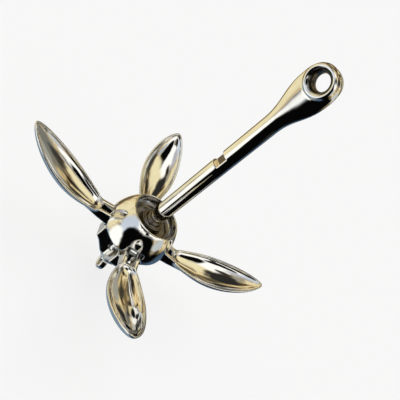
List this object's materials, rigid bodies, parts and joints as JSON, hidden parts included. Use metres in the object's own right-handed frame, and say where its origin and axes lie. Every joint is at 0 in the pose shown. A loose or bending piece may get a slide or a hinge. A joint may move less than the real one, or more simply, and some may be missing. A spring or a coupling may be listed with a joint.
{
  "type": "folding grapnel anchor",
  "caption": "Folding grapnel anchor: spoon-shaped flukes hinged on a crown, locked open by a bell-shaped collar that slides along a round shank with an eye.",
  "frame": {"origin": "middle of the hole in the shank's eye, where the rode's shackle holds the anchor up", "axes": "+Z along the shank from the crown to the eye, +X along the eye's hole, at 45 degrees to the flukes"},
  "size_m": [0.2162, 0.2162, 0.3367],
  "materials": {
    "polished_steel": "mirror-polished stainless steel",
    "cast_polished_steel": "polished stainless steel casting",
    "turned_steel": "turned stainless steel"
  },
  "bodies": {
    "shank_and_crown": {"shank": "polished_steel", "crown": "cast_polished_steel", "crown_pin": "turned_steel", "crown_washer": "turned_steel", "trip_eye": "cast_polished_steel", "hinge_pin_1": "turned_steel", "hinge_pin_2": "turned_steel", "hinge_pin_3": "turned_steel", "hinge_pin_4": "turned_steel", "hinge_washer_1": "turned_steel", "hinge_washer_2": "turned_steel", "hinge_washer_3": "turned_steel", "hinge_washer_4": "turned_steel"},
    "collar": {"collar": "polished_steel", "collar_key": "turned_steel"},
    "fluke_1": {"fluke_1": "polished_steel"},
    "fluke_2": {"fluke_2": "polished_steel"},
    "fluke_3": {"fluke_3": "polished_steel"},
    "fluke_4": {"fluke_4": "polished_steel"}
  },
  "joints": [
    {"name": "collar_slide", "type": "slide", "parent": "shank_and_crown", "child": "collar", "axis": [0, 0, 1], "range_m": [0, 0.158]},
    {"name": "fluke_1_hinge", "type": "hinge", "parent": "shank_and_crown", "child": "fluke_1", "pos_m": [0.01838, 0.01838, -0.2486], "axis": [0.7071, -0.7071, 0], "range_deg": [0, 71]},
    {"name": "fluke_2_hinge", "type": "hinge", "parent": "shank_and_crown", "child": "fluke_2", "pos_m": [-0.01838, 0.01838, -0.2486], "axis": [0.7071, 0.7071, 0], "range_deg": [0, 71]},
    {"name": "fluke_3_hinge", "type": "hinge", "parent": "shank_and_crown", "child": "fluke_3", "pos_m": [-0.01838, -0.01838, -0.2486], "axis": [-0.7071, 0.7071, 0], "range_deg": [0, 71]},
    {"name": "fluke_4_hinge", "type": "hinge", "parent": "shank_and_crown", "child": "fluke_4", "pos_m": [0.01838, -0.01838, -0.2486], "axis": [-0.7071, -0.7071, 0], "range_deg": [0, 71]}
  ],
  "couplings": [
    {"joint": "fluke_1_hinge", "follows": "collar_slide", "rad_per_m": 7.83},
    {"joint": "fluke_2_hinge", "follows": "collar_slide", "rad_per_m": 7.83},
    {"joint": "fluke_3_hinge", "follows": "collar_slide", "rad_per_m": 7.83},
    {"joint": "fluke_4_hinge", "follows": "collar_slide", "rad_per_m": 7.83}
  ]
}
